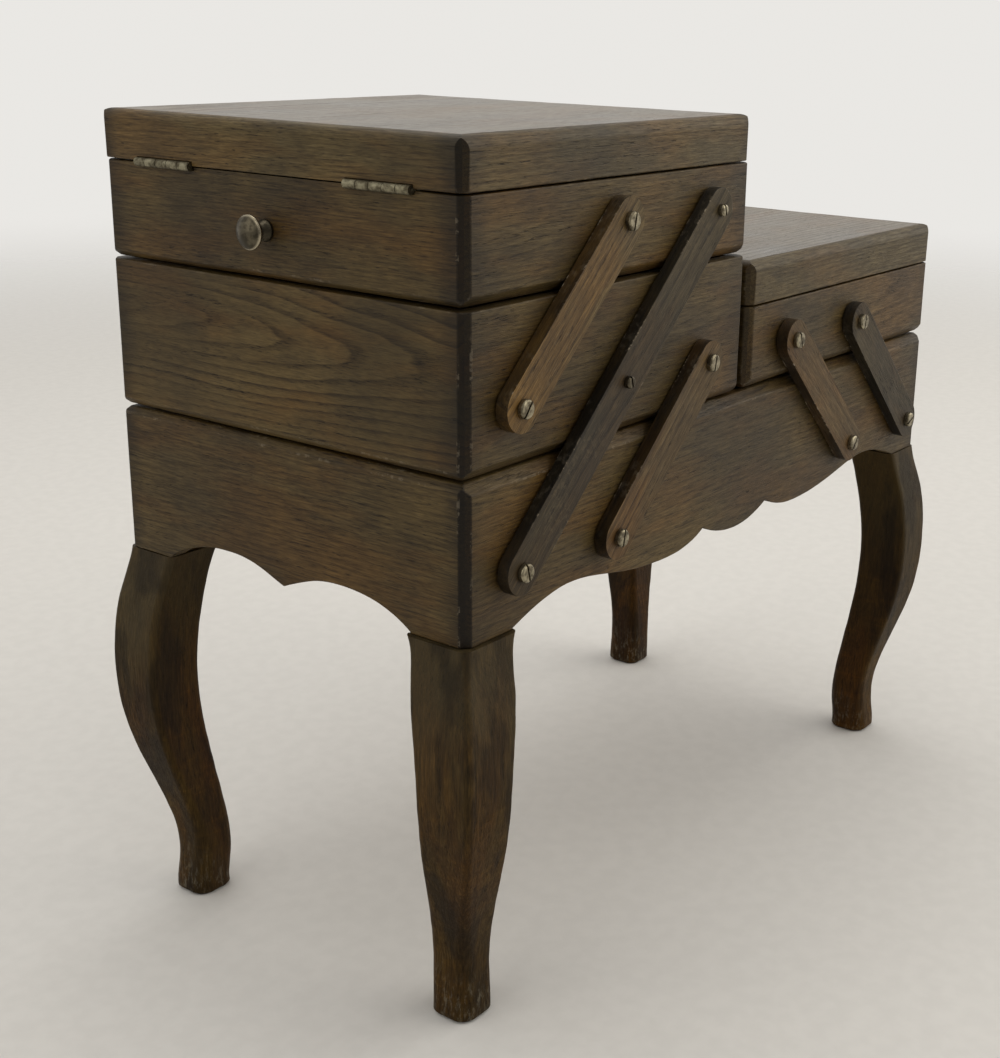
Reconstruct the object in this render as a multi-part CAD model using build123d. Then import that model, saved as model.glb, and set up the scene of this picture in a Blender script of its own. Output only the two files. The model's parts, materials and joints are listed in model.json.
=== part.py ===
from build123d import *

import os
from math import asin, cos, sin, sqrt

# Cantilever sewing box on four cabriole legs, in dark stained oak.
# A long base box carries two stacks. The left one is an open middle tray under
# a lidded top tray, the right one is a single lidded tray. Flat arms on the
# front and the back let each stack swing outwards over its own end of the base.
# Millimetres, +Z up, X along the base, -Y the front, origin on the floor under
# the middle of the base.

# Driving dimensions: the box and its two stacks
LENGTH = 468.0
DEPTH = 234.0
LEFT_LENGTH = 232.5
STACK_GAP = 6.5
LEG_TOP = 205.5
BASE_TOP = 282.4
MIDDLE_TOP = 358.7
TRAY_GAP = 1.2
TOP_SEAM = 407.9
TOP_LID_TOP = 432.0
RIGHT_SEAM = 329.6
RIGHT_LID_TOP = 354.0
SEAM_GAP = 0.8
LID_OVERHANG = 1.0

# Driving dimensions: boards
BASE_BOARD = 10.0
TRAY_BOARD = 9.0
CORNER_BEVEL = 4.3
SIDE_BEVEL = 5.0
END_BEVEL = 3.2
LID_SIDE_ROUND = 6.0
LID_END_ROUND = 5.0
PANEL = 4.0
PANEL_TONGUE = 4.0
PANEL_RISE = 4.0
BASE_PANEL_RISE = 14.5
LID_PANEL = 5.0
LID_LIP = 6.0

# Driving dimensions: arms and their pivots, x from the left end of the base
ARM_WIDTH = 23.0
ARM_THICKNESS = 6.8
ARM_STANDOFF = 1.0
LEFT_ARM = (79.4, 75.2)
RIGHT_ARM = (-77.5, 75.7)
LONG_ARM_PIVOT = (32.0, 236.2)
UPPER_ARM_PIVOT = (30.8, 313.2)
LOWER_ARM_PIVOT = (108.3, 233.4)
INNER_ARM_PIVOT = (357.2, 231.0)
OUTER_ARM_PIVOT = (436.8, 230.4)

# Driving dimensions: pivot screws and washers
SHANK_RADIUS = 2.1
SHANK_DEPTH = 7.0
HOLE_CLEARANCE = 0.08
HEAD_RADIUS = 4.6
SMALL_HEAD_RADIUS = 3.1
HEAD_HEIGHT = 2.6
HEAD_ROUND = 1.1
HEAD_GAP = 0.3
SLOT_WIDTH = 1.1
SLOT_DEPTH = 1.2
FIRST_SLOT_ANGLE = 76
SLOT_ANGLE_STEP = 13
WASHER_RADIUS = 5.0
WASHER_THICKNESS = 0.7

# Driving dimensions: lid hinges
HINGE_LENGTH = 39.0
HINGE_SPACING = 139.3
BARREL_RADIUS = 2.15
BARREL_STANDOFF = 1.5
KNUCKLES = 5
KNUCKLE_GAP = 0.35
PIN_RADIUS = 1.0
LEAF_THICKNESS = 0.95
LEAF_GAP = 0.5
LEAF_WIDTH = 6.5
LEAF_CLEARANCE = 0.4
LEAF_SCREW_SPACING = 26.0
LEAF_SCREW_RADIUS = 1.2
LEAF_SCREW_HEAD = 2.2
LEAF_SCREW_DEPTH = 9.0

# Driving dimensions: the pull knob, turned in one piece with its screw
KNOB_DROP = 24.9
KNOB_SIDE = 2.3
KNOB_SCREW_RADIUS = 2.0
KNOB_SCREW_DEPTH = 7.0
KNOB_REACH = 14.0

# Driving dimensions: legs, as (height, outward offset, width, corner radius).
# They are sawn by hand, and the front left one is stouter towards its top.
LEG_SECTIONS = [
    (0.0, -7.4, 25.8, 9.0),
    (17.0, -8.6, 25.0, 8.2),
    (34.0, -9.1, 24.4, 7.0),
    (55.0, -5.6, 25.4, 5.4),
    (79.0, 1.0, 28.6, 4.2),
    (103.0, 6.6, 31.4, 3.8),
    (128.0, 9.3, 32.8, 3.8),
    (153.0, 9.1, 33.6, 3.8),
    (179.0, 5.9, 33.8, 3.8),
    (LEG_TOP, 0.3, 34.0, 4.3),
]
LEG_EXTRA_WIDTH = {"front_left": (0, 0, 0, 0, 0, 0.8, 1.5, 2.3, 3.2, 4.2)}
LEG_POST = 22.0
FOOT_BEVEL = 1.6

# Shaped lower edges of the aprons: (distance from the middle, rise)
LONG_APRON_LOBE = 34.0
LONG_APRON_NOTCH = 8.0
LONG_APRON_WAVE = [(50.0, 2.0), (73.0, 0.3), (115.0, 4.7), (158.0, 10.6), (186.0, 5.4)]
LONG_APRON_END = 201.0
END_APRON_CUSP = 3.6
END_APRON_WAVE = [(10.0, 7.6), (24.0, 11.9), (42.0, 13.2), (62.0, 10.4), (76.0, 5.0)]
END_APRON_END = 84.0

MIN_X = -LENGTH / 2
MIN_Y = -DEPTH / 2
MAX_Y = DEPTH / 2
MIDDLE_BOTTOM = BASE_TOP + TRAY_GAP
TOP_BOTTOM = MIDDLE_TOP + TRAY_GAP
RIGHT_START = LEFT_LENGTH + STACK_GAP
SLACK = 1.0

os.makedirs("parts", exist_ok=True)


def save(name, *solids):
    """Write one node, a single solid or a group of separate ones."""
    shape = solids[0] if len(solids) == 1 else Compound(children=list(solids))
    export_step(shape, f"parts/{name}.step")


def block(x0, x1, y0, y1, z0, z1):
    """Axis-aligned block between two corners."""
    size = (x1 - x0, y1 - y0, z1 - z0)
    return Pos(x0, y0, z0) * Box(*size, align=(Align.MIN, Align.MIN, Align.MIN))


def rod(start, direction, radius, length):
    """Solid round bar from a start point along a direction."""
    return extrude(Plane(start, z_dir=direction) * Circle(radius), length)


class Case:
    """The outer size of one box, tray or lid, x from the left end of the base."""

    def __init__(self, x0, x1, z0, z1, board):
        self.x0, self.x1 = MIN_X + x0, MIN_X + x1
        self.z0, self.z1 = z0, z1
        self.board = board
        self.length, self.height = self.x1 - self.x0, z1 - z0
        self.middle_x, self.middle_z = (self.x0 + self.x1) / 2, (z0 + z1) / 2


def edge_profile(width, height, top, bottom, cut):
    """Cross-section with its upper and lower corners bevelled or rounded."""
    profile = Rectangle(width, height)
    for size, corners in ((top, profile.vertices().sort_by(Axis.Y)[-2:]),
                          (bottom, profile.vertices().sort_by(Axis.Y)[:2])):
        if size:
            profile = cut(corners, size)
    return profile


def outer_block(case, tops, bottoms, cut):
    """Whole outside of a case: sides, ends and corners shaped by three prisms.
    tops and bottoms are (long side, end) sizes of the edge bevel or rounding."""
    side = edge_profile(DEPTH, case.height, tops[0], bottoms[0], cut)
    end = edge_profile(case.length, case.height, tops[1], bottoms[1], cut)
    plan = Rectangle(case.length, DEPTH)
    plan = chamfer(plan.vertices(), CORNER_BEVEL)
    centre = (case.middle_x, 0, case.middle_z)
    along_x = extrude(Plane(centre, x_dir=(0, 1, 0), z_dir=(1, 0, 0)) * side, LENGTH, both=True)
    along_y = extrude(Plane(centre, x_dir=(1, 0, 0), z_dir=(0, -1, 0)) * end, DEPTH, both=True)
    along_z = extrude(Pos(case.middle_x, 0, case.z0) * plan, case.height)
    return along_x & along_y & along_z


def hollow(case, solid):
    """Take the room inside the four boards out of a solid."""
    t = case.board
    return solid - block(case.x0 + t, case.x1 - t, MIN_Y + t, MAX_Y - t, case.z0 - SLACK, case.z1 + SLACK)


def mitre_prism(case, points):
    """Plan wedge that cuts one mitred board out of the ring of four."""
    outline = make_face(Polyline(*points, close=True))
    return extrude(Pos(0, 0, case.z0 - SLACK) * outline, case.height + 2 * SLACK)


def split_boards(case, ring):
    """Cut a ring of four walls into front, back, left and right mitred boards."""
    t = case.board + SLACK
    x0, x1, y0, y1 = case.x0 - SLACK, case.x1 + SLACK, MIN_Y - SLACK, MAX_Y + SLACK
    s = t + SLACK
    wedges = {
        "front": [(x0, y0), (x1, y0), (x1 - s, y0 + s), (x0 + s, y0 + s)],
        "back": [(x0, y1), (x0 + s, y1 - s), (x1 - s, y1 - s), (x1, y1)],
        "left": [(x0, y0), (x0 + s, y0 + s), (x0 + s, y1 - s), (x0, y1)],
        "right": [(x1, y0), (x1, y1), (x1 - s, y1 - s), (x1 - s, y0 + s)],
    }
    return {side: ring & mitre_prism(case, points) for side, points in wedges.items()}


def bottom_panel(case, rise):
    """Thin panel whose edges sit in grooves in the four boards."""
    inset = case.board - PANEL_TONGUE
    z = case.z0 + rise
    return block(case.x0 + inset, case.x1 - inset, MIN_Y + inset, MAX_Y - inset, z, z + PANEL)


def lid_panel(case):
    """Flush top panel of a lid, let into a rebate in the four rails."""
    inset = LID_LIP
    z = case.z1 - LID_PANEL
    return block(case.x0 + inset, case.x1 - inset, MIN_Y + inset, MAX_Y - inset, z, case.z1)


def apron_cut(half_span, curves, depth):
    """Block under a shaped lower edge, mirrored about its middle, to be cut away.
    The edge runs from the middle out to half_span in the drawing plane."""
    right_half = curves + [
        Line((half_span, 0), (half_span, -depth)),
        Line((half_span, -depth), (0, -depth)),
        Line((0, -depth), curves[0] @ 0),
    ]
    half = make_face(right_half)
    return half + mirror(half, about=Plane.YZ)


def long_apron_cut():
    """Space under the front and back aprons: a middle lobe, two lobes, two arches."""
    lobe_rise = (LONG_APRON_LOBE ** 2 + LONG_APRON_NOTCH ** 2) / (2 * LONG_APRON_NOTCH)
    mid_x = LONG_APRON_LOBE / 2
    mid_rise = lobe_rise - sqrt(lobe_rise ** 2 - mid_x ** 2)
    lobe = ThreePointArc((0, 0), (mid_x, mid_rise), (LONG_APRON_LOBE, LONG_APRON_NOTCH))
    wave = Spline((LONG_APRON_LOBE, LONG_APRON_NOTCH), *LONG_APRON_WAVE, (LONG_APRON_END, 0))
    profile = apron_cut(LONG_APRON_END, [lobe, wave], SLACK)
    plane = Plane((0, 0, LEG_TOP), x_dir=(1, 0, 0), z_dir=(0, -1, 0))
    return extrude(plane * profile, DEPTH, both=True)


def end_apron_cut():
    """Space under the end aprons: two arches that meet in a middle cusp."""
    wave = Spline((0, END_APRON_CUSP), *END_APRON_WAVE, (END_APRON_END, 0))
    profile = apron_cut(END_APRON_END, [wave], SLACK)
    plane = Plane((0, 0, LEG_TOP), x_dir=(0, 1, 0), z_dir=(1, 0, 0))
    return extrude(plane * profile, LENGTH, both=True)


def pivot_point(pivot, side):
    """A pivot's place on the front (-1) or back (1) face of the box."""
    return MIN_X + pivot[0], side * DEPTH / 2, pivot[1]


def shifted(pivot, arm, count=1):
    """The pivot that lies a number of arm lengths further along an arm."""
    return pivot[0] + count * arm[0], pivot[1] + count * arm[1]


def pilot_holes(pivots):
    """Holes in the boards that the pivot screws are driven into."""
    holes = [rod(pivot_point(pivot, side), (0, -side, 0), SHANK_RADIUS, SHANK_DEPTH)
             for pivot in pivots for side in (-1, 1)]
    return holes


def pivot_screw(pivot, side, head_radius, slot_angle):
    """Slotted screw through an arm, its head eased at the rim, and the washer behind the arm."""
    x, y, z = pivot_point(pivot, side)
    outward = (0, side, 0)
    head_base = ARM_STANDOFF + ARM_THICKNESS + HEAD_GAP
    shank = rod((x, y - side * SHANK_DEPTH, z), outward, SHANK_RADIUS, SHANK_DEPTH + head_base)
    head = rod((x, y + side * head_base, z), outward, head_radius, HEAD_HEIGHT)
    head = fillet(head.edges().sort_by(Axis.Y)[-1 if side > 0 else 0], HEAD_ROUND)
    slot = Box(2 * head_radius, 2 * SLOT_DEPTH, SLOT_WIDTH)
    slot = Pos(x, y + side * (head_base + HEAD_HEIGHT), z) * Rot(0, slot_angle, 0) * slot
    washer = rod((x, y, z), outward, WASHER_RADIUS, WASHER_THICKNESS)
    washer -= rod((x, y, z), outward, SHANK_RADIUS, WASHER_THICKNESS)
    return [shank + head - slot, washer]


def pivot_set(pivots, small=()):
    """All pivot screws and washers of one body, front and back.
    The pivots in small have the smaller heads."""
    pieces = []
    angle = FIRST_SLOT_ANGLE
    for pivot in pivots:
        radius = SMALL_HEAD_RADIUS if pivot in small else HEAD_RADIUS
        for side in (-1, 1):
            pieces += pivot_screw(pivot, side, radius, angle)
            angle += SLOT_ANGLE_STEP
    return pieces


def arm(pivot, direction, spans, side):
    """Flat arm with round ends and a screw hole at each of its pivots."""
    x, y, z = pivot_point(pivot, side)
    length = spans * sqrt(direction[0] ** 2 + direction[1] ** 2)
    centre = (x, y + side * ARM_STANDOFF, z)
    plane = Plane(centre, x_dir=(direction[0], 0, direction[1]), z_dir=(0, side, 0))
    outline = Pos(length / 2, 0) * SlotOverall(length + ARM_WIDTH, ARM_WIDTH)
    for index in range(spans + 1):
        outline -= Pos(index * length / spans, 0) * Circle(SHANK_RADIUS + HOLE_CLEARANCE)
    return extrude(plane * outline, ARM_THICKNESS)


def save_arms(name, pivot, direction, spans):
    """The front and the back arm of one pair."""
    save(f"{name}_front", arm(pivot, direction, spans, -1))
    save(f"{name}_back", arm(pivot, direction, spans, 1))


def leg(corner_x, corner_y, extra_widths):
    """Cabriole leg under one corner, with a post that is glued inside the box."""
    out_x, out_y = (1 if corner_x > 0 else -1), (1 if corner_y > 0 else -1)
    sections = []
    for (height, offset, width, corner), extra in zip(LEG_SECTIONS, extra_widths):
        centre = offset - width / 2
        width += extra
        place = Pos(corner_x + out_x * centre, corner_y + out_y * centre, height)
        sections.append(place * RectangleRounded(width, width, corner))
    shaft = loft(sections)
    foot_edges = shaft.faces().sort_by(Axis.Z)[0].edges()
    shaft = chamfer(foot_edges, FOOT_BEVEL)
    inner_x = corner_x - out_x * BASE_BOARD
    inner_y = corner_y - out_y * BASE_BOARD
    post = Box(LEG_POST, LEG_POST, BASE_PANEL_RISE, align=(Align.CENTER, Align.CENTER, Align.MIN))
    post = Pos(inner_x - out_x * LEG_POST / 2, inner_y - out_y * LEG_POST / 2, LEG_TOP) * post
    return shaft + post


class Hinge:
    """Butt hinges of one lid. The barrel stands just outside the end board."""

    def __init__(self, end_x, outward, seam):
        self.outward = outward
        self.end_x = end_x
        self.x = end_x + outward * BARREL_STANDOFF
        self.z = seam
        self.starts = [s * HINGE_SPACING / 2 - HINGE_LENGTH / 2 for s in (-1, 1)]
        self.knuckle = HINGE_LENGTH / KNUCKLES

    def barrel(self, y, radius, length):
        """Round bar on the hinge line."""
        return rod((self.x, y, self.z), (0, 1, 0), radius, length)

    def plate(self, y, length, upper, inner_x, outer_x):
        """Flat stretch of a leaf, above or below the seam."""
        low = self.z + LEAF_GAP / 2 if upper else self.z - LEAF_GAP / 2 - LEAF_THICKNESS
        return block(min(inner_x, outer_x), max(inner_x, outer_x), y, y + length, low, low + LEAF_THICKNESS)

    def leaf(self, y, upper):
        """One leaf with its knuckles: the lower leaf has the odd ones."""
        leaf_start = self.x - self.outward * (BARREL_RADIUS + LEAF_CLEARANCE)
        leaf_end = self.end_x - self.outward * LEAF_WIDTH
        leaf = self.plate(y, HINGE_LENGTH, upper, leaf_start, leaf_end)
        bore = PIN_RADIUS + (HOLE_CLEARANCE if upper else 0)
        for index in range(1 if upper else 0, KNUCKLES, 2):
            start = y + index * self.knuckle + KNUCKLE_GAP / 2
            length = self.knuckle - KNUCKLE_GAP
            leaf += self.barrel(start, BARREL_RADIUS, length)
            leaf += self.plate(start, length, upper, self.x, leaf_start)
        leaf -= self.barrel(y, bore, HINGE_LENGTH)
        for screw_y in self.screw_places(y):
            leaf -= self.screw(screw_y, upper)
        return leaf

    def screw_places(self, y):
        """Where the two screws of a leaf lie along the hinge."""
        middle = y + HINGE_LENGTH / 2
        return [middle + s * LEAF_SCREW_SPACING / 2 for s in (-1, 1)]

    def screw(self, y, upper):
        """Small countersunk screw, flush with the leaf's inner face."""
        side = 1 if upper else -1
        x = self.end_x - self.outward * LEAF_WIDTH / 2
        z = self.z + side * LEAF_GAP / 2
        shank = rod((x, y, z), (0, 0, side), LEAF_SCREW_RADIUS, LEAF_SCREW_DEPTH)
        head = Cone(LEAF_SCREW_HEAD, LEAF_SCREW_RADIUS, LEAF_THICKNESS,
                    align=(Align.CENTER, Align.CENTER, Align.MIN))
        head = Pos(x, y, z) * (head if upper else Rot(180, 0, 0) * head)
        return shank + head

    def leaves(self, upper):
        return [self.leaf(y, upper) for y in self.starts]

    def screws(self, upper):
        return [self.screw(y, upper) for start in self.starts for y in self.screw_places(start)]

    def pins(self):
        return [self.barrel(y, PIN_RADIUS, HINGE_LENGTH) for y in self.starts]

    def mortises(self, upper):
        """Pockets for the leaves, the barrels and the screws in a board's edge."""
        pockets = self.screws(upper)
        leaf_end = self.end_x - self.outward * LEAF_WIDTH
        for y in self.starts:
            pockets.append(self.plate(y, HINGE_LENGTH, upper, self.x, leaf_end))
            length = HINGE_LENGTH + 2 * LEAF_CLEARANCE
            pockets.append(self.barrel(y - LEAF_CLEARANCE, BARREL_RADIUS + LEAF_CLEARANCE, length))
        return pockets


def knob_profile():
    """Half section of the pull: screw, rosette, waisted stem and domed button.
    The drawing's X is the radius and its Y the distance from the board."""
    rim = (7.7, 11.0)
    rise = KNOB_REACH - rim[1]
    dome_radius = (rim[0] ** 2 + rise ** 2) / (2 * rise)
    half_angle = asin(rim[0] / dome_radius) / 2
    dome_middle = (dome_radius * sin(half_angle), KNOB_REACH - dome_radius * (1 - cos(half_angle)))
    outline = [
        Line((0, -KNOB_SCREW_DEPTH), (KNOB_SCREW_RADIUS, -KNOB_SCREW_DEPTH)),
        Line((KNOB_SCREW_RADIUS, -KNOB_SCREW_DEPTH), (KNOB_SCREW_RADIUS, 0)),
        Line((KNOB_SCREW_RADIUS, 0), (5.2, 0)),
        Line((5.2, 0), (5.2, 1.2)),
        Spline((5.2, 1.2), (4.4, 2.7), (3.2, 4.9), (3.4, 7.2), (5.6, 8.8)),
        Line((5.6, 8.8), (7.6, 9.3)),
        ThreePointArc((7.6, 9.3), (8.2, 10.1), rim),
        ThreePointArc(rim, dome_middle, (0, KNOB_REACH)),
        Line((0, KNOB_REACH), (0, -KNOB_SCREW_DEPTH)),
    ]
    return make_face(outline)


def knob(end_x, outward, z):
    """Brass pull on the outer end of a lidded tray."""
    centre = (end_x, KNOB_SIDE, z)
    plane = Plane(centre, x_dir=(0, 1, 0), z_dir=(0, 0, -outward))
    return revolve(plane * knob_profile(), Axis(centre, (outward, 0, 0)))


def knob_hole(end_x, outward, z):
    """Hole in the end board for the pull's screw."""
    return rod((end_x, KNOB_SIDE, z), (-outward, 0, 0), KNOB_SCREW_RADIUS, KNOB_SCREW_DEPTH)


def cut_all(solid, tools):
    """Take every tool out of a solid."""
    for tool in tools:
        solid -= tool
    return solid


def save_boards(name, suffix, boards):
    """Write the four boards of one ring."""
    for side, board in boards.items():
        save(f"{name}_{side}_{suffix}", board)


def make_base():
    """Long box with shaped aprons, a bottom panel and four legs."""
    case = Case(0, LENGTH, LEG_TOP, BASE_TOP, BASE_BOARD)
    pivots = [LONG_ARM_PIVOT, LOWER_ARM_PIVOT, INNER_ARM_PIVOT, OUTER_ARM_PIVOT]
    panel = bottom_panel(case, BASE_PANEL_RISE)
    ring = hollow(case, outer_block(case, (SIDE_BEVEL, END_BEVEL), (0, 0), chamfer))
    boards = split_boards(case, cut_all(ring, [panel, *pilot_holes(pivots)]))
    for side in boards:
        boards[side] -= long_apron_cut() if side in ("front", "back") else end_apron_cut()
    save_boards("base", "apron", boards)
    save("base_bottom_panel", panel)
    save("base_pivot_screws", *pivot_set(pivots))
    for name, x, y in (("front_left", case.x0, MIN_Y), ("front_right", case.x1, MIN_Y),
                       ("back_left", case.x0, MAX_Y), ("back_right", case.x1, MAX_Y)):
        save(f"{name}_leg", leg(x, y, LEG_EXTRA_WIDTH.get(name, [0] * len(LEG_SECTIONS))))


def make_middle_tray():
    """Open tray of the left stack."""
    case = Case(0, LEFT_LENGTH, MIDDLE_BOTTOM, MIDDLE_TOP, TRAY_BOARD)
    pivots = [shifted(LONG_ARM_PIVOT, LEFT_ARM), shifted(LOWER_ARM_PIVOT, LEFT_ARM), UPPER_ARM_PIVOT]
    panel = bottom_panel(case, PANEL_RISE)
    bevels = (SIDE_BEVEL, END_BEVEL)
    ring = hollow(case, outer_block(case, bevels, bevels, chamfer))
    boards = split_boards(case, cut_all(ring, [panel, *pilot_holes(pivots)]))
    save_boards("middle_tray", "board", boards)
    save("middle_tray_bottom_panel", panel)
    save("middle_tray_pivot_screws", *pivot_set(pivots, pivots[:1]))


def make_lidded_tray(name, case, pivots, hinge, small=()):
    """Tray with a hinged lid: boards, panel, pivots, lower hinge leaves, knob."""
    knob_z = case.z1 - KNOB_DROP
    panel = bottom_panel(case, PANEL_RISE)
    ring = hollow(case, outer_block(case, (0, 0), (SIDE_BEVEL, END_BEVEL), chamfer))
    tools = [panel, *pilot_holes(pivots), *hinge.mortises(False),
             knob_hole(hinge.end_x, hinge.outward, knob_z)]
    save_boards(name, "board", split_boards(case, cut_all(ring, tools)))
    save(f"{name}_bottom_panel", panel)
    save(f"{name}_pivot_screws", *pivot_set(pivots, small))
    save(f"{name}_hinge_leaves", *hinge.leaves(False))
    save(f"{name}_hinge_pins", *hinge.pins())
    save(f"{name}_hinge_screws", *hinge.screws(False))
    save(f"{name}_knob", knob(hinge.end_x, hinge.outward, knob_z))


def make_lid(name, case, hinge):
    """Lid: four mitred rails, a flush top panel and the upper hinge leaves."""
    panel = lid_panel(case)
    rounds = (LID_SIDE_ROUND, LID_END_ROUND)
    ring = hollow(case, outer_block(case, rounds, (0, 0), fillet))
    boards = split_boards(case, cut_all(ring, [panel, *hinge.mortises(True)]))
    save_boards(name, "rail", boards)
    save(f"{name}_panel", panel)
    save(f"{name}_hinge_leaves", *hinge.leaves(True))
    save(f"{name}_hinge_screws", *hinge.screws(True))


def make_top_tray():
    """Upper, lidded tray of the left stack, hinged and pulled at its left end."""
    tray = Case(0, LEFT_LENGTH, TOP_BOTTOM, TOP_SEAM - SEAM_GAP / 2, TRAY_BOARD)
    lid = Case(-LID_OVERHANG, LEFT_LENGTH - LID_OVERHANG, TOP_SEAM + SEAM_GAP / 2, TOP_LID_TOP, TRAY_BOARD)
    pivots = [shifted(LONG_ARM_PIVOT, LEFT_ARM, 2), shifted(UPPER_ARM_PIVOT, LEFT_ARM)]
    hinge = Hinge(tray.x0, -1, TOP_SEAM)
    make_lidded_tray("top_tray", tray, pivots, hinge, pivots[:1])
    make_lid("top_lid", lid, hinge)


def make_right_tray():
    """Lidded tray of the right stack, hinged and pulled at its right end."""
    tray = Case(RIGHT_START, LENGTH, MIDDLE_BOTTOM, RIGHT_SEAM - SEAM_GAP / 2, TRAY_BOARD)
    lid = Case(RIGHT_START, LENGTH, RIGHT_SEAM + SEAM_GAP / 2, RIGHT_LID_TOP, TRAY_BOARD)
    pivots = [shifted(INNER_ARM_PIVOT, RIGHT_ARM), shifted(OUTER_ARM_PIVOT, RIGHT_ARM)]
    hinge = Hinge(tray.x1, 1, RIGHT_SEAM)
    make_lidded_tray("right_tray", tray, pivots, hinge)
    make_lid("right_lid", lid, hinge)


def make_arms():
    """Five pairs of arms, one of each pair on the front and one on the back."""
    save_arms("left_long_arm", LONG_ARM_PIVOT, LEFT_ARM, 2)
    save_arms("left_lower_arm", LOWER_ARM_PIVOT, LEFT_ARM, 1)
    save_arms("left_upper_arm", UPPER_ARM_PIVOT, LEFT_ARM, 1)
    save_arms("right_inner_arm", INNER_ARM_PIVOT, RIGHT_ARM, 1)
    save_arms("right_outer_arm", OUTER_ARM_PIVOT, RIGHT_ARM, 1)


make_base()
make_middle_tray()
make_top_tray()
make_right_tray()
make_arms()
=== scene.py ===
import json
import math
import random

import bmesh
import bpy
from mathutils import Matrix, Vector, noise

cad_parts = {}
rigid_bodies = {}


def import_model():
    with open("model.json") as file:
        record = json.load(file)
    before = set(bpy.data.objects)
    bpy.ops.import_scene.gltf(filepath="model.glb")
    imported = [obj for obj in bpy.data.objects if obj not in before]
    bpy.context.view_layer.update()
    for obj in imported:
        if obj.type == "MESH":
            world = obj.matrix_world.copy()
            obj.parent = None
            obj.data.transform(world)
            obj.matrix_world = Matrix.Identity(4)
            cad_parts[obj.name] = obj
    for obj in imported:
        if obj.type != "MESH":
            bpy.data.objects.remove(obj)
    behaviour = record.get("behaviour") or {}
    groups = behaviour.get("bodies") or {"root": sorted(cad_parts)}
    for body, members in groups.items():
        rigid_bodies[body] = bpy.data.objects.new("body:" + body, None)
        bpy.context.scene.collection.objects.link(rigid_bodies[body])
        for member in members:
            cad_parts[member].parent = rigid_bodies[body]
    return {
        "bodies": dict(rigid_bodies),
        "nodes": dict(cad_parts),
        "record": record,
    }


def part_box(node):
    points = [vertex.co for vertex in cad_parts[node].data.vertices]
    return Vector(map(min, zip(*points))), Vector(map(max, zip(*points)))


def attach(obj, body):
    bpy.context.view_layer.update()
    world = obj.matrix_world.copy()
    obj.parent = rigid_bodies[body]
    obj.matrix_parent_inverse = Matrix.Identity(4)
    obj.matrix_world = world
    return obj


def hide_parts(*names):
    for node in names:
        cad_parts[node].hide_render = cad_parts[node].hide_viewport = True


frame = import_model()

NODES = frame["nodes"]
RECORD = frame["record"]
BODY_OF = {node: body for body, nodes in RECORD["behaviour"]["bodies"].items() for node in nodes}
X, Y, Z = Vector((1, 0, 0)), Vector((0, 1, 0)), Vector((0, 0, 1))

for extra in list(bpy.data.objects):
    if extra.name not in NODES and extra not in frame["bodies"].values():
        bpy.data.objects.remove(extra)
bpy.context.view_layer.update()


# ---------------------------------------------------------------- node helpers

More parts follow.
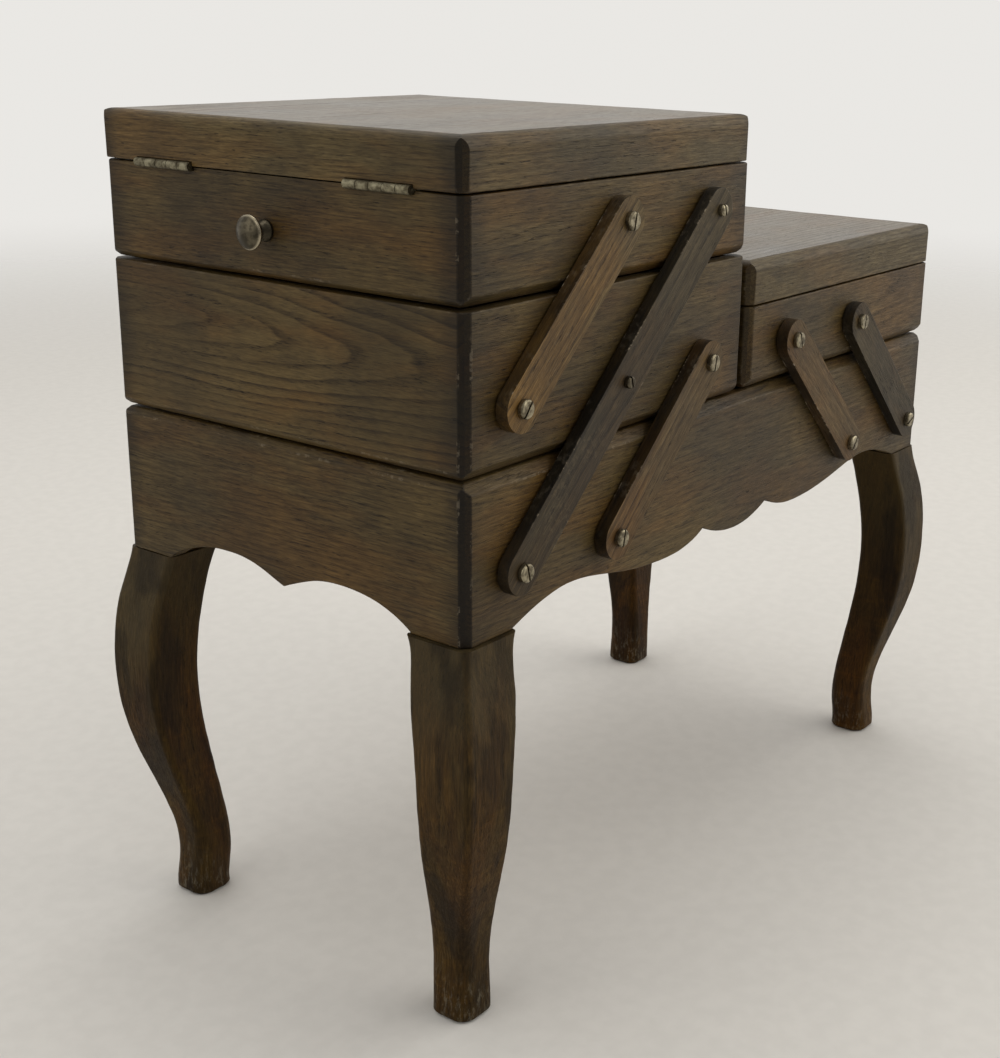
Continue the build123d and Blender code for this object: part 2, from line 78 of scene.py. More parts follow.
class Graph:
    """Builds one material's shader nodes with short calls."""

    def __init__(self, name):
        self.material = bpy.data.materials.new(name)
        self.material.use_nodes = True
        self.tree = self.material.node_tree
        self.tree.nodes.clear()
        self.output = self.tree.nodes.new("ShaderNodeOutputMaterial")

    def put(self, socket, value):
        if isinstance(value, bpy.types.NodeSocket):
            self.tree.links.new(value, socket)
        else:
            socket.default_value = value

    def node(self, kind, **inputs):
        made = self.tree.nodes.new(kind)
        for key, value in inputs.items():
            self.put(made.inputs[key.replace("_", " ")], value)
        return made

    def math(self, operation, *values):
        made = self.tree.nodes.new("ShaderNodeMath")
        made.operation = operation
        for socket, value in zip(made.inputs, values):
            self.put(socket, value)
        return made.outputs[0]

    def vector(self, operation, *values):
        made = self.tree.nodes.new("ShaderNodeVectorMath")
        made.operation = operation
        for socket, value in zip(made.inputs, values):
            self.put(socket, value)
        return made.outputs["Value" if operation in ("DOT_PRODUCT", "LENGTH") else "Vector"]

    def combine(self, x, y, z):
        return self.node("ShaderNodeCombineXYZ", X=x, Y=y, Z=z).outputs[0]

    def split(self, vector):
        return self.node("ShaderNodeSeparateXYZ", Vector=vector).outputs

    def noise(self, vector, scale, detail=2.0, roughness=0.5):
        """Noise from 0 to 1; scale is a number, or one number for each axis."""
        if not isinstance(scale, (int, float)):
            vector = self.vector("MULTIPLY", vector, scale)
            scale = 1.0
        return self.node("ShaderNodeTexNoise", Vector=vector, Scale=scale, Detail=detail,
                         Roughness=roughness).outputs["Fac"]

    def span(self, value, low, high, to_low=0.0, to_high=1.0):
        """Map low..high to to_low..to_high in a smooth step, clamped."""
        made = self.tree.nodes.new("ShaderNodeMapRange")
        made.interpolation_type = "SMOOTHSTEP"
        for socket, number in zip(made.inputs, (value, low, high, to_low, to_high)):
            self.put(socket, number)
        return made.outputs[0]

    def ramp(self, value, stops):
        made = self.node("ShaderNodeValToRGB", Fac=value)
        while len(made.color_ramp.elements) < len(stops):
            made.color_ramp.elements.new(0.5)
        for element, (position, colour) in zip(made.color_ramp.elements, stops):
            element.position = position
            element.color = (*colour, 1.0)
        return made.outputs[0]

    def grey_ramp(self, value, stops):
        return self.ramp(value, [(position, (level,) * 3) for position, level in stops])

    def mix(self, factor, a, b, blend="MIX"):
        made = self.tree.nodes.new("ShaderNodeMix")
        made.data_type = "RGBA"
        made.blend_type = blend
        for socket, value in zip((made.inputs[0], made.inputs[6], made.inputs[7]), (factor, a, b)):
            if isinstance(value, tuple) and len(value) == 3:
                value = (*value, 1.0)
            self.put(socket, value)
        return made.outputs[2]

    def scale_colour(self, colour, value):
        grey = self.combine(value, value, value)
        return self.mix(1.0, colour, grey, "MULTIPLY")

    def tint(self, factor, strength, colour, towards):
        """Multiply a colour by another where factor is high."""
        return self.mix(self.math("MULTIPLY", factor, strength), colour, towards, "MULTIPLY")

    def normal(self):
        return self.split(self.node("ShaderNodeTexCoord").outputs["Normal"])

    def bump(self, height, distance, strength):
        return self.node("ShaderNodeBump", Height=height, Distance=distance, Strength=strength).outputs[0]

    def finish(self, **inputs):
        shader = self.node("ShaderNodeBsdfPrincipled")
        for key, value in inputs.items():
            self.put(shader.inputs[key.replace("_", " ")], value)
        self.put(self.output.inputs["Surface"], shader.outputs[0])
        return self.material


# ---------------------------------------------------------------- dark oak

# Tones: darkest pore line, early wood, middle, late wood, and the varnish's roughness
TONES = {
    "case": ((0.007, 0.004, 0.001), (0.026, 0.0155, 0.0040),
             (0.067, 0.043, 0.0125), (0.125, 0.085, 0.029), 0.44),
    "lid": ((0.009, 0.005, 0.002), (0.032, 0.020, 0.0060),
            (0.078, 0.054, 0.018), (0.135, 0.098, 0.041), 0.42),
    "lid_top": ((0.010, 0.006, 0.004), (0.040, 0.027, 0.013),
                (0.092, 0.068, 0.036), (0.150, 0.118, 0.068), 0.27),
    "arm": ((0.007, 0.004, 0.001), (0.032, 0.018, 0.005),
            (0.078, 0.047, 0.015), (0.170, 0.112, 0.042), 0.48),
    "arm_warm": ((0.008, 0.004, 0.001), (0.038, 0.023, 0.006),
                 (0.110, 0.071, 0.022), (0.235, 0.162, 0.058), 0.48),
    "arm_dark": ((0.005, 0.003, 0.001), (0.015, 0.010, 0.0035),
                 (0.036, 0.025, 0.0095), (0.085, 0.060, 0.024), 0.48),
    "leg": ((0.005, 0.0025, 0.0004), (0.020, 0.0105, 0.0013),
            (0.047, 0.0255, 0.0036), (0.084, 0.049, 0.0090), 0.48),
    "panel": ((0.10, 0.065, 0.035), (0.17, 0.115, 0.065), (0.22, 0.155, 0.09), (0.27, 0.20, 0.125), 0.55),
}
# What the colour is multiplied by where stain took warm, where grime lies and where it is soaked black
WARM_STAIN = (1.28, 0.92, 0.46)
GRIME = (0.42, 0.40, 0.38)
SOAKED_END = (0.22, 0.22, 0.22)
SOAKED_FACET = (0.20, 0.175, 0.14)
BARE_WOOD = (0.30, 0.25, 0.18)


def growth_rings(g, board, v, w, u, pith, tilt, ring):
    """Rings round a wandering heart line, dark on one side, fading in and out over the board."""
    wander = g.math("SUBTRACT", g.noise(board, (3.2, 16, 16), 2), 0.5)
    ripple = g.math("SUBTRACT", g.noise(board, (14, 75, 75), 3), 0.5)
    from_heart_v = g.math("ADD", g.math("SUBTRACT", v, pith[0]), g.math("MULTIPLY", wander, 0.030))
    from_heart_w = g.math("ADD", g.math("ADD", w, pith[1]), g.math("MULTIPLY", u, tilt))
    from_heart_w = g.math("ADD", from_heart_w, g.math("MULTIPLY", ripple, 0.0045))
    radius = g.vector("LENGTH", g.combine(0.0, from_heart_v, from_heart_w))
    phase = g.math("FRACT", g.math("DIVIDE", radius, ring))
    return g.grey_ramp(phase, [(0.0, 0.0), (0.12, 0.16), (0.34, 0.74), (0.92, 1.0), (1.0, 0.0)])


def open_pores(g, board, rings):
    """Short dark pores, crowded in some places and thin in the late wood."""
    crowd = g.span(g.noise(board, (18, 130, 130), 3, 0.6), 0.40, 0.66, 0.30, 1.0)
    pore = g.span(g.noise(board, (190, 1900, 1900), 1, 0.5), 0.565, 0.68)
    return g.math("MULTIPLY", pore, g.math("MULTIPLY", crowd, g.span(rings, 0.2, 0.95, 1.0, 0.45)))


def grain_value(g, board, rings, figure):
    """Rings, fibres and ray flecks in one value, all long along the grain."""
    fibre = g.span(g.noise(board, (60, 900, 900), 4, 0.72), 0.30, 0.70)
    fine = g.span(g.noise(board, (150, 2400, 2400), 2, 0.6), 0.34, 0.66)
    fleck = g.span(g.noise(board, (70, 210, 210), 2, 0.6), 0.60, 0.76)
    shown = g.span(g.noise(board, (10, 55, 55), 2), 0.36, 0.62, 0.25, 1.0)
    plain = g.math("MULTIPLY", g.math("SUBTRACT", 1.0, shown), 0.62)
    rings = g.math("ADD", g.math("MULTIPLY", rings, shown), plain)
    value = g.math("MULTIPLY", rings, figure)
    value = g.math("ADD", value, g.math("MULTIPLY", fibre, 0.62 - figure))
    value = g.math("ADD", value, g.math("MULTIPLY", fine, 0.22))
    return g.math("ADD", value, g.math("MULTIPLY", fleck, 0.12))


def stained(g, colour, board, patch):
    """Stain that took unevenly, and grime."""
    colour = g.scale_colour(colour, g.span(patch, 0.30, 0.70, 0.62, 1.25))
    warm = g.span(g.noise(board, (9, 34, 34), 3, 0.6), 0.42, 0.64)
    colour = g.tint(warm, 0.55, colour, WARM_STAIN)
    smear = g.span(g.noise(board, (22, 75, 75), 4, 0.7), 0.54, 0.70)
    return g.tint(smear, 0.50, colour, GRIME)


def dark_corners(g, colour, position, patch, ends):
    """Over-stained board ends and corner facets. ends holds the board's axis, the case's two ends
    on it, how far in the stain reaches, its strength, and the facet's strength."""
    axis, low, high, reach, strength, facet_strength = ends
    along = g.split(position)[axis]
    edge = g.math("MINIMUM", g.math("SUBTRACT", along, low), g.math("SUBTRACT", high, along))
    edge = g.math("ADD", edge, g.math("MULTIPLY", g.math("SUBTRACT", patch, 0.5), 0.016))
    colour = g.tint(g.span(edge, 0.0, reach, 1.0, 0.0), strength, colour, SOAKED_END)
    across_corner = g.normal()
    facet = g.math("ABSOLUTE", g.math("MULTIPLY", across_corner[0], across_corner[1]))
    return g.tint(g.span(facet, 0.08, 0.42), facet_strength, colour, SOAKED_FACET)


def oak(name, tone, grain, across, seed, centre, pith=(0.02, 0.05), tilt=0.03, ring=0.0032,
        figure=0.30, ends=None, wear=0.0, ageing_and_shade=None, relief=0.00022, shine=0.24):
    """Oak with growth rings, pores, flecks and grime. centre is a point on the board's outer face.
    pith is how far the tree's heart lies from it, across the face and behind the face."""
    g = Graph(name)
    chance = random.Random(seed)
    grain, across = Vector(grain).normalized(), Vector(across).normalized()
    position = g.node("ShaderNodeTexCoord").outputs["Object"]
    u, v, w = [g.math("ADD", g.vector("DOT_PRODUCT", position, tuple(axis)), -centre.dot(axis))
               for axis in (grain, across, grain.cross(across))]
    drift = tuple(chance.uniform(-9, 9) for _ in range(3))
    board = g.vector("ADD", g.combine(u, v, w), drift)
    patch = g.noise(g.vector("ADD", position, drift), (10, 10, 10), 4, 0.62)

    rings = growth_rings(g, board, v, w, u, pith, tilt, ring)
    pore = open_pores(g, board, rings)
    value = grain_value(g, board, rings, figure)
    deep, early, middle, late, gloss = TONES[tone]
    colour = g.ramp(value, [(0.10, early), (0.50, middle), (0.95, late)])
    colour = stained(g, colour, board, patch)
    colour = g.mix(g.math("MULTIPLY", pore, 0.88), colour, deep)
    if ends:
        colour = dark_corners(g, colour, position, patch, ends)
    # the hook adds ageing marks, and on the legs and arms it adds painted shade
    if ageing_and_shade:
        colour = ageing_and_shade(g, colour, position, board)

    rough = g.span(value, 0.1, 0.9, gloss + 0.14, gloss)
    rough = g.math("ADD", rough, g.math("MULTIPLY", g.math("SUBTRACT", patch, 0.5), 0.22))
    rough = g.math("ADD", rough, g.math("MULTIPLY", pore, 0.2))
    if wear:
        scuff = g.span(g.noise(position, (320, 320, 320), 4, 0.7), 0.50, 0.60)
        rub = g.span(g.noise(position, (52, 52, 52), 3, 0.6), 0.46, 0.62)
        scuff = g.math("MULTIPLY", scuff, rub)
        colour = g.mix(g.math("MULTIPLY", scuff, wear), colour, BARE_WOOD)
        rough = g.math("ADD", rough, g.math("MULTIPLY", scuff, 0.2))

    height = g.math("ADD", g.math("MULTIPLY", value, 0.45), g.math("MULTIPLY", pore, -0.8))
    height = g.math("ADD", height, g.math("MULTIPLY", patch, 1.4))
    return g.finish(Base_Color=colour, Roughness=rough, Normal=g.bump(height, relief, 0.8),
                    Specular_IOR_Level=shine)


def weathered_and_shaded_leg(g, colour, position, board):
    """Greyer at the top, scuffed at the foot, with dark blotches and a curly figure between.
    The faces that look in under the box get painted shade, darker and warmer."""
    height = g.split(position)[2]
    normal = g.node("ShaderNodeTexCoord").outputs["Normal"]
    uneven = g.math("MULTIPLY", g.math("SUBTRACT", g.noise(board, (14, 40, 40), 4, 0.65), 0.5), 0.10)
    level = g.math("ADD", height, uneven)
    grey = g.span(level, 0.100, 0.200)
    colour = g.mix(g.math("MULTIPLY", grey, 0.45), colour, (0.064, 0.052, 0.028))
    # painted shade: leg faces turned in under the box are darkened and warmed
    inner_shade = g.span(g.vector("DOT_PRODUCT", g.vector("MULTIPLY", normal, position), (-1.0, -1.0, 0.0)),
                   0.02, 0.08)
    colour = g.tint(inner_shade, 0.9, colour, (0.78, 0.66, 0.24))
    blotch = g.span(g.noise(board, (15, 45, 45), 4, 0.6), 0.47, 0.61)
    colour = g.tint(blotch, 0.70, colour, (0.32, 0.30, 0.28))
    curl = g.span(g.noise(board, (260, 34, 34), 2, 0.5), 0.52, 0.66)
    low_curl = g.math("MULTIPLY", curl, g.span(level, 0.16, 0.09))
    colour = g.tint(low_curl, 0.45, colour, (1.55, 1.48, 1.10))
    worn = g.math("MULTIPLY", g.span(level, 0.040, 0.0),
                  g.span(g.noise(board, (130, 420, 420), 4, 0.75), 0.48, 0.66))
    return g.mix(g.math("MULTIPLY", worn, 0.32), colour, (0.25, 0.22, 0.16))


def lid_top_bloom(g, colour, position, board):
    """Handled top: the stain is paler and drier in broad strokes."""
    bloom = g.span(g.noise(board, (6, 22, 22), 3, 0.6), 0.36, 0.66)
    return g.mix(g.math("MULTIPLY", bloom, 0.30), colour, (0.17, 0.14, 0.105))


def arm_side_shade(g, colour, position, board):
    """The narrow sides of an arm get painted shade, almost black, thinner in places."""
    # painted shade: faces turned away from the arm's front and back are multiplied towards near black
    side = g.span(g.math("ABSOLUTE", g.normal()[1]), 0.25, 0.85, 1.0, 0.0)
    thin = g.span(g.noise(board, (25, 60, 60), 3, 0.6), 0.30, 0.60, 0.55, 1.0)
    return g.tint(side, thin, colour, (0.26, 0.26, 0.24))


# ---------------------------------------------------------------- metals

def aged_metal(name, bright, dull, rough, scratch, rim=None, dark=None):
    """Old brass: bright where it is handled, brown where it is not, finely scratched.
    rim holds (centre, from radius, to radius) round an axis along X, where it is rubbed bright.
    dark is an arm's box: the screw half way along that arm has gone brown."""
    g = Graph(name)
    position = g.node("ShaderNodeTexCoord").outputs["Object"]
    stain = g.noise(position, (210, 210, 210), 4, 0.65)
    spots = g.span(g.noise(position, (900, 900, 900), 3, 0.6), 0.58, 0.72)
    tarnish = g.span(stain, 0.38, 0.64)
    if rim:
        centre, start, end = rim
        y, z = g.split(g.vector("SUBTRACT", position, tuple(centre)))[1:]
        radius = g.vector("LENGTH", g.combine(0.0, y, z))
        rubbed = g.span(radius, start, end)
        patchy = g.span(tarnish, 0.0, 1.0, 0.55, 1.0)
        tarnish = g.math("MULTIPLY", patchy, g.math("SUBTRACT", 1.0, rubbed))
    colour = g.mix(tarnish, bright, dull)
    if rim:
        colour = g.mix(g.math("MULTIPLY", rubbed, 0.7), colour, (0.46, 0.40, 0.29))
    colour = g.mix(g.math("MULTIPLY", spots, 0.55), colour, (0.06, 0.045, 0.03))
    if dark:
        middle = (dark[0] + dark[1]) / 2
        away = g.vector("LENGTH", g.vector("SUBTRACT", position, tuple(middle)))
        colour = g.mix(g.span(away, 0.022, 0.030, 0.75, 0.0), colour, (0.045, 0.036, 0.024))
    lines = g.noise(position, (scratch, 260, 2600), 3, 0.7)
    roughness = g.math("ADD", rough, g.math("MULTIPLY", tarnish, 0.18))
    roughness = g.math("ADD", roughness, g.math("MULTIPLY", spots, 0.2))
    height = g.math("ADD", g.math("MULTIPLY", stain, 0.8), g.math("MULTIPLY", lines, 0.35))
    return g.finish(Base_Color=colour, Roughness=roughness, Metallic=1.0,
                    Normal=g.bump(height, 0.00006, 0.7))


# ---------------------------------------------------------------- boards

SHORTEST_EASED = 0.0014
SMALLEST_MITRE = 1e-5
MITRE_REACH = 0.004
ZONE_MARGIN = Vector((0.002, 0.004, 0.006))


def hinge_zones():
    """Boxes round the hinge recesses, whose small edges stay crisp."""
    zones = []
    for node in ("top_tray_hinge_leaves", "right_tray_hinge_leaves"):
        low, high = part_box(node)
        zones.append((low - ZONE_MARGIN, high + ZONE_MARGIN))
    return zones


ZONES = hinge_zones()


def in_zone(point):
    return any(all(low[i] <= point[i] <= high[i] for i in range(3)) for low, high in ZONES)


def mitre_faces(bm, outward):
    """The glued faces at the ends of a ring's board. None on a piece that has no outward side."""
    return [face for face in bm.faces if outward and face.normal.dot(outward) < -0.5
            and abs(face.normal.x) > 0.5 and abs(face.normal.y) > 0.5]


def edges_to_ease(bm, mitres):
    """Sharp edges that are neither at a mitre nor at a hinge recess, nor tiny."""
    found = []
    for edge in bm.edges:
        if len(edge.link_faces) != 2 or edge.calc_length() < SHORTEST_EASED:
            continue
        if any(face in mitres for face in edge.link_faces):
            continue
        middle = (edge.verts[0].co + edge.verts[1].co) / 2
        if edge.calc_face_angle(0.0) > math.radians(20) and not in_zone(middle):
            found.append(edge)
    return found


def divide(bm, low, high, cuts):
    """Cut a board across, so that it can be uneven. cuts holds (axis, step) pairs."""
    for axis, step in cuts:
        count = max(1, round((high[axis] - low[axis]) / step))
        normal = Vector([1.0 if i == axis else 0.0 for i in range(3)])
        for index in range(1, count):
            point = low + (high - low) * index / count
            bmesh.ops.bisect_plane(bm, geom=bm.verts[:] + bm.edges[:] + bm.faces[:],
                                   plane_co=point, plane_no=normal)


def make_uneven(bm, low, high, planes, drift, wobble):
    """Move the faces in a little, by a slow and a fast noise. Mitre planes and hinge recesses stay."""
    for vertex in bm.verts:
        if in_zone(vertex.co):
            continue
        slow = noise.noise(vertex.co * 26 + drift)
        fast = noise.noise(vertex.co * 110 + drift)
        near = min([abs((vertex.co - point).dot(normal)) for point, normal in planes] + [0.01])
        depth = (slow * 0.55 + fast * 0.45 - 0.45) * wobble * min(1.0, near / MITRE_REACH)
        vertex.co += vertex.normal * depth
        for axis in range(3):
            vertex.co[axis] = min(max(vertex.co[axis], low[axis]), high[axis])


def soften(node, soft, segments, cuts, wobble, flat=0.5, outward=None):
    """A copy of a CAD board as a hand-finished one: edges eased, faces slightly uneven.
    A board of a ring faces outward, and its glued mitres stay square and closed."""
    bm = bmesh.new()
    bm.from_mesh(NODES[node].data)
    bmesh.ops.remove_doubles(bm, verts=bm.verts, dist=2e-6)
    bmesh.ops.dissolve_limit(bm, angle_limit=math.radians(flat), verts=bm.verts, edges=bm.edges)
    mitres = mitre_faces(bm, outward)
    planes = [(face.calc_center_median(), face.normal.copy()) for face in mitres
              if face.calc_area() > SMALLEST_MITRE]
    eased = bmesh.ops.bevel(bm, geom=edges_to_ease(bm, mitres), offset=soft, offset_type="OFFSET",
                            segments=segments, profile=0.5, affect="EDGES", clamp_overlap=False)
    for face in bm.faces:
        face.material_index = 0
        face.smooth = True
    for face in eased["faces"]:
        face.material_index = 1
    low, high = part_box(node)
    divide(bm, low, high, cuts)
    bm.normal_update()
    for edge in bm.edges:
        if len(edge.link_faces) == 2 and edge.calc_face_angle(0.0) > math.radians(38):
            edge.smooth = False
    drift = Vector([random.Random(node).uniform(-50, 50) for _ in range(3)])
    make_uneven(bm, low, high, planes, drift, wobble)
    mesh = bpy.data.meshes.new(node + "_wood")
    bm.to_mesh(mesh)
    bm.free()
    piece = bpy.data.objects.new(node + "_wood", mesh)
    bpy.context.scene.collection.objects.link(piece)
    weighted = piece.modifiers.new("even_normals", "WEIGHTED_NORMAL")
    weighted.weight = 60
    weighted.keep_sharp = True
    return piece


def install(piece, node, *materials):
    for material in materials:
        piece.data.materials.append(material)
    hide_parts(node)
    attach(piece, BODY_OF[node])


# Each ring of boards: its nodes' prefix and suffix, tone, dark corner reach, its strength on the
# end boards, the corner facets' darkness, edge wear
RINGS = [
    ("base", "apron", "case", 0.009, 0.75, 0.95, 0.25),
    ("middle_tray", "board", "case", 0.011, 0.80, 0.80, 0.25),
    ("top_tray", "board", "case", 0.013, 0.85, 0.72, 0.25),
    ("right_tray", "board", "case", 0.006, 0.25, 0.20, 0.30),
    ("top_lid", "rail", "lid", 0.010, 0.80, 0.75, 0.30),
    ("right_lid", "rail", "lid", 0.006, 0.25, 0.35, 0.30),
]
# How the growth rings lie in the boards that show: (pith across, pith behind), tilt, ring width
FIGURE = {
    "middle_tray_left_board": ((0.012, 0.016), 0.085, 0.0040),
    "middle_tray_front_board": ((0.030, 0.030), 0.05, 0.0036),
    "base_left_apron": ((0.13, 0.06), 0.02, 0.0030),
    "base_front_apron": ((-0.06, 0.04), 0.05, 0.0036),
    "top_tray_left_board": ((0.15, 0.05), 0.02, 0.0026),
    "top_tray_front_board": ((0.055, 0.03), 0.06, 0.0034),
    "top_lid_left_rail": ((0.12, 0.06), 0.02, 0.0026),
    "top_lid_front_rail": ((0.05, 0.02), 0.04, 0.0030),
}
# Boards sawn so that the growth rings show as tall arches
FIGURED = ("middle_tray_left_board", "middle_tray_back_board")


def make_rings():
    for prefix, suffix, tone, reach, strength, facet, wear in RINGS:
        whole_low, whole_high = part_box(f"{prefix}_left_{suffix}")[0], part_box(f"{prefix}_right_{suffix}")[1]
        for side in ("front", "back", "left", "right"):
            node = f"{prefix}_{side}_{suffix}"
            low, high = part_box(node)
            lengthwise = side in ("front", "back")
            grain, axis = (X, 0) if lengthwise else (Y, 1)
            centre = (low + high) / 2
            if lengthwise:
                centre.y = low.y if side == "front" else high.y
            else:
                centre.x = low.x if side == "left" else high.x
            chance = random.Random(node)
            default = ((chance.uniform(-0.12, 0.12), chance.uniform(0.02, 0.06)),
                       chance.uniform(0.02, 0.06), 0.0032)
            pith, tilt, ring = FIGURE.get(node, default)
            figure = 0.44 if node in FIGURED else 0.20
            if (side in ("front", "right")) != (grain.cross(Z).y < 0 or grain.cross(Z).x > 0):
                pith = (pith[0], -pith[1])
            share, length = (0.65, 2.2) if lengthwise else (1.0, 1.7)
            ends = (axis, whole_low[axis], whole_high[axis], reach * length, strength * share, facet)
            common = dict(tone=tone, grain=grain, across=Z, seed=node, centre=centre, pith=pith,
                          tilt=tilt, ring=ring, figure=figure, ends=ends)
            wood = oak(node + "_oak", **common)
            edge = oak(node + "_oak_edge", wear=wear, **common)
            face_out = {"front": -Y, "back": Y, "left": -X, "right": X}[side]
            piece = soften(node, 0.0008, 3, [(axis, 0.013), (2, 0.016)], 0.00022, outward=face_out)
            install(piece, node, wood, edge)


def make_panels():
    for node in ("top_lid_panel", "right_lid_panel"):
        centre = (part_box(node)[0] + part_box(node)[1]) / 2
        wood = oak(node + "_oak", "lid_top", X, Y, node, centre, pith=(0.10, 0.09), tilt=0.03, ring=0.0045,
                   ageing_and_shade=lid_top_bloom, relief=0.00008, shine=0.5)
        piece = soften(node, 0.0003, 1, [(0, 0.018), (1, 0.018)], 0.00012)
        install(piece, node, wood, wood)
    for node in ("base_bottom_panel", "middle_tray_bottom_panel", "top_tray_bottom_panel",
                 "right_tray_bottom_panel"):
        centre = (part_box(node)[0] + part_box(node)[1]) / 2
        wood = oak(node + "_ply", "panel", X, Y, node, centre, pith=(0.2, 0.02), tilt=0.02, ring=0.006)
        piece = soften(node, 0.0003, 1, [(0, 0.03), (1, 0.03)], 0.0001)
        install(piece, node, wood, wood)


ARM_WIDTH = 0.023
ARM_TONES = {"left_long_arm": "arm_dark", "right_outer_arm": "arm_dark", "left_upper_arm": "arm_warm"}


def make_arms():
    for node in [n for n in NODES if "_arm_" in n]:
        low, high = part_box(node)
        slope = Vector((high.x - low.x - ARM_WIDTH, 0, high.z - low.z - ARM_WIDTH))
        if node.startswith("right"):
            slope.x = -slope.x
        centre = (low + high) / 2
        centre.y = low.y if low.y < 0 else high.y
        tone = ARM_TONES.get(node.rsplit("_", 1)[0], "arm")
        across = slope.normalized().cross(Y)
        chance = random.Random(node)
        common = dict(tone=tone, grain=slope, across=across, seed=node, centre=centre,
                      pith=(chance.uniform(-0.07, 0.07), 0.03), tilt=chance.uniform(0.02, 0.05),
                      ring=0.0042, figure=0.34, ageing_and_shade=arm_side_shade)
        wood = oak(node + "_oak", wear=0.12, **common)
        edge = oak(node + "_oak_edge", wear=0.75, **common)
        piece = soften(node, 0.0006, 2, [(0, 0.007), (2, 0.007)], 0.00022)
        install(piece, node, wood, edge)


def make_legs():
    for node in [n for n in NODES if n.endswith("_leg")]:
        low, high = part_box(node)
        centre = (low + high) / 2
        centre.y = low.y if low.y < 0 else high.y
        wood = oak(node + "_oak", "leg", Z, X + Y * 0.4, node, centre, pith=(0.01, 0.03), tilt=0.04,
                   ring=0.0048, figure=0.16, ageing_and_shade=weathered_and_shaded_leg, shine=0.12)
        piece = soften(node, 0.0006, 2, [], 0.0004, flat=0.02)
        install(piece, node, wood, wood)


def make_metal():
    screw = aged_metal("screw_brass_old", (0.33, 0.29, 0.20), (0.085, 0.070, 0.046), 0.30, 260,
                       dark=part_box("left_long_arm_front"))
    hinge = aged_metal("hinge_brass_old", (0.27, 0.245, 0.165), (0.085, 0.072, 0.045), 0.38, 900)
    for node in NODES:
        if node.endswith("pivot_screws"):
            NODES[node].material_slots[0].material = screw
        elif "hinge" in node:
            NODES[node].material_slots[0].material = hinge
        elif node.endswith("knob"):
            low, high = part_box(node)
            rim = ((low + high) / 2, 0.0070, 0.0080)
            NODES[node].material_slots[0].material = aged_metal(
                node + "_brass", (0.165, 0.142, 0.098), (0.050, 0.043, 0.030), 0.25, 260, rim)


make_rings()
make_panels()
make_arms()
make_legs()
make_metal()


# ---------------------------------------------------------------- stage, light, camera

FLOOR_RADIUS = 3.2
# Each light: name, place, the point it faces, size, power, colour
LIGHTS = [
    ("key_window", (1.7, -1.75, 1.45), (0, 0, 0.25), (3.2, 2.3), 34, (1.0, 0.955, 0.87)),
    ("side_fill", (-1.9, 0.35, 1.15), (0, 0, 0.22), (1.7, 1.5), 10, (1.0, 0.965, 0.90)),
    ("top_soft", (0.35, 0.45, 2.1), (0, 0, 0.2), (1.6, 1.6), 12, (1.0, 0.97, 0.92)),
]
# The pale side of the surroundings, and the colours away from it and towards it
PALE_SIDE = (0.86, 0.36, 0.30)
DIM_SURROUND = (0.095, 0.09, 0.085, 1)
PALE_SURROUND = (0.82, 0.805, 0.775, 1)
# The camera: place, turn, tilt and roll in radians, lens in mm
CAMERA_PLACE = (-0.7361, -0.5438, 0.4803)
CAMERA_YAW, CAMERA_PITCH, CAMERA_ROLL = 0.6294, -0.3013, 0.0197
CAMERA_LENS = 53.72
CAMERA_SHIFT = (-0.0744, -0.0237)


def stage_floor():
    """Plain pale floor that thins out into the pale surroundings."""
    mesh = bpy.data.meshes.new("stage_floor")
    bm = bmesh.new()
    bmesh.ops.create_circle(bm, cap_ends=True, radius=FLOOR_RADIUS, segments=96)
    bm.to_mesh(mesh)
    bm.free()
    floor = bpy.data.objects.new("stage_floor", mesh)
    bpy.context.scene.collection.objects.link(floor)
    g = Graph("stage_floor_pale")
    position = g.node("ShaderNodeTexCoord").outputs["Object"]
    tone = g.span(g.noise(position, 90.0, 3), 0.3, 0.7, 0.98, 1.02)
    fade = g.span(g.vector("LENGTH", position), 1.3, FLOOR_RADIUS * 0.98, 1.0, 0.0)
    mesh.materials.append(g.finish(Base_Color=g.scale_colour((0.62, 0.605, 0.58, 1.0), tone),
                                   Roughness=0.8, Alpha=fade))


def area_light(name, place, aim, size, power, colour):
    data = bpy.data.lights.new(name, "AREA")
    data.shape = "RECTANGLE"
    data.size, data.size_y = size
    data.energy = power
    data.color = colour
    light = bpy.data.objects.new(name, data)
    light.location = place
    light.rotation_euler = (Vector(aim) - Vector(place)).to_track_quat("-Z", "Y").to_euler()
    light.visible_camera = False
    bpy.context.scene.collection.objects.link(light)


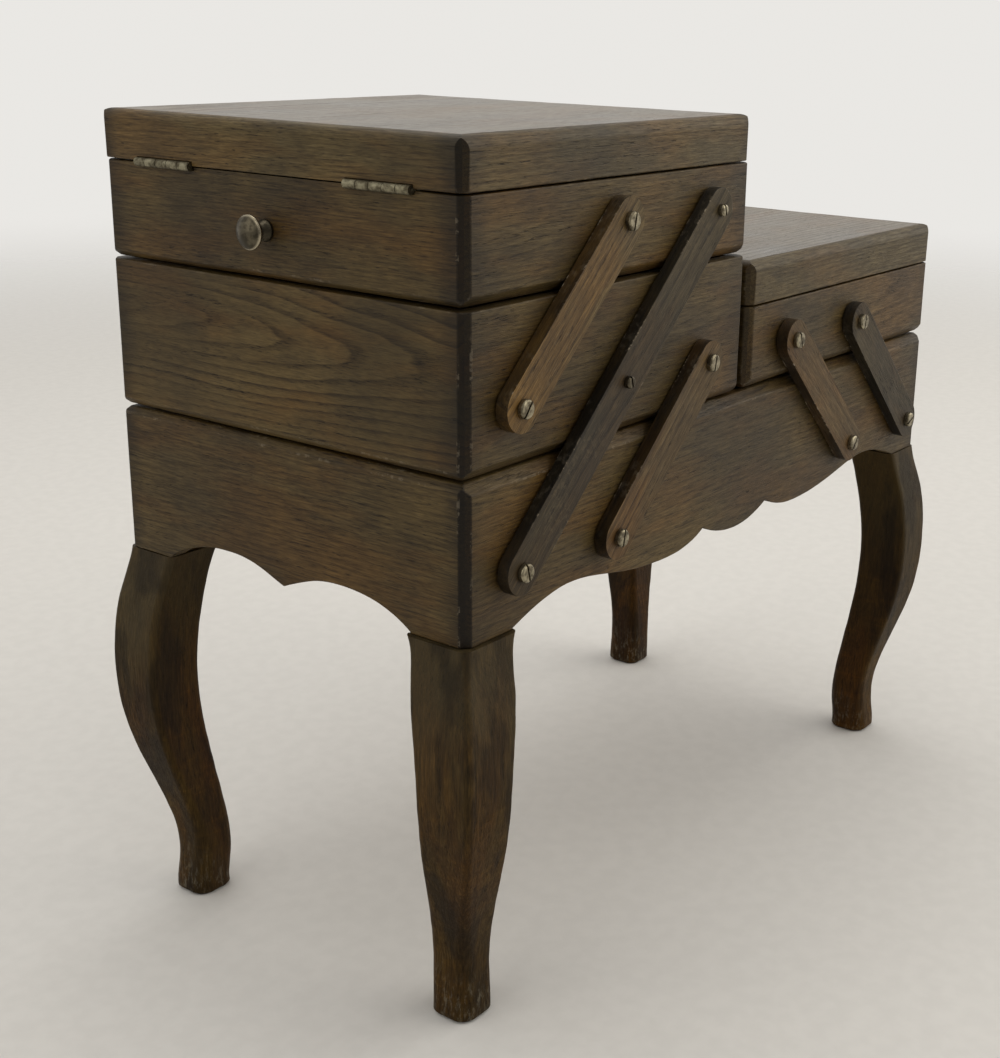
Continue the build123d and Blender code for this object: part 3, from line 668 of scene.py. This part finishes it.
def studio():
    """Pale all round, darker on the side that faces the box's near corner."""
    world = bpy.data.worlds.new("studio_world")
    bpy.context.scene.world = world
    world.use_nodes = True
    tree = world.node_tree
    tree.nodes.clear()
    direction = tree.nodes.new("ShaderNodeTexCoord").outputs["Generated"]
    dot = tree.nodes.new("ShaderNodeVectorMath")
    dot.operation = "DOT_PRODUCT"
    tree.links.new(direction, dot.inputs[0])
    dot.inputs[1].default_value = Vector(PALE_SIDE).normalized()
    ramp = tree.nodes.new("ShaderNodeValToRGB")
    ramp.color_ramp.elements[0].position = 0.0
    ramp.color_ramp.elements[0].color = DIM_SURROUND
    ramp.color_ramp.elements[1].position = 0.55
    ramp.color_ramp.elements[1].color = PALE_SURROUND
    shift = tree.nodes.new("ShaderNodeMath")
    shift.operation = "MULTIPLY_ADD"
    tree.links.new(dot.outputs["Value"], shift.inputs[0])
    shift.inputs[1].default_value = 0.5
    shift.inputs[2].default_value = 0.5
    tree.links.new(shift.outputs[0], ramp.inputs["Fac"])
    background = tree.nodes.new("ShaderNodeBackground")
    background.inputs["Strength"].default_value = 1.0
    tree.links.new(ramp.outputs["Color"], background.inputs["Color"])
    output = tree.nodes.new("ShaderNodeOutputWorld")
    tree.links.new(background.outputs[0], output.inputs["Surface"])
    for light in LIGHTS:
        area_light(*light)


def camera():
    """Looks at the left front corner from a little above the lids."""
    level = math.cos(CAMERA_PITCH)
    forward = Vector((level * math.cos(CAMERA_YAW), level * math.sin(CAMERA_YAW), math.sin(CAMERA_PITCH)))
    right = Vector((math.sin(CAMERA_YAW), -math.cos(CAMERA_YAW), 0.0))
    up = right.cross(forward)
    turned_right = math.cos(CAMERA_ROLL) * right + math.sin(CAMERA_ROLL) * up
    turned_up = -math.sin(CAMERA_ROLL) * right + math.cos(CAMERA_ROLL) * up
    data = bpy.data.cameras.new("camera")
    data.sensor_width = 36.0
    data.lens = CAMERA_LENS
    data.shift_x, data.shift_y = CAMERA_SHIFT
    data.clip_start, data.clip_end = 0.05, 50.0
    data.dof.use_dof = False
    view = bpy.data.objects.new("camera", data)
    columns = Matrix((turned_right, turned_up, -forward)).transposed()
    view.matrix_world = Matrix.Translation(CAMERA_PLACE) @ columns.to_4x4()
    bpy.context.scene.collection.objects.link(view)
    bpy.context.scene.camera = view


stage_floor()
studio()
camera()
bpy.context.scene.view_settings.view_transform = "Standard"
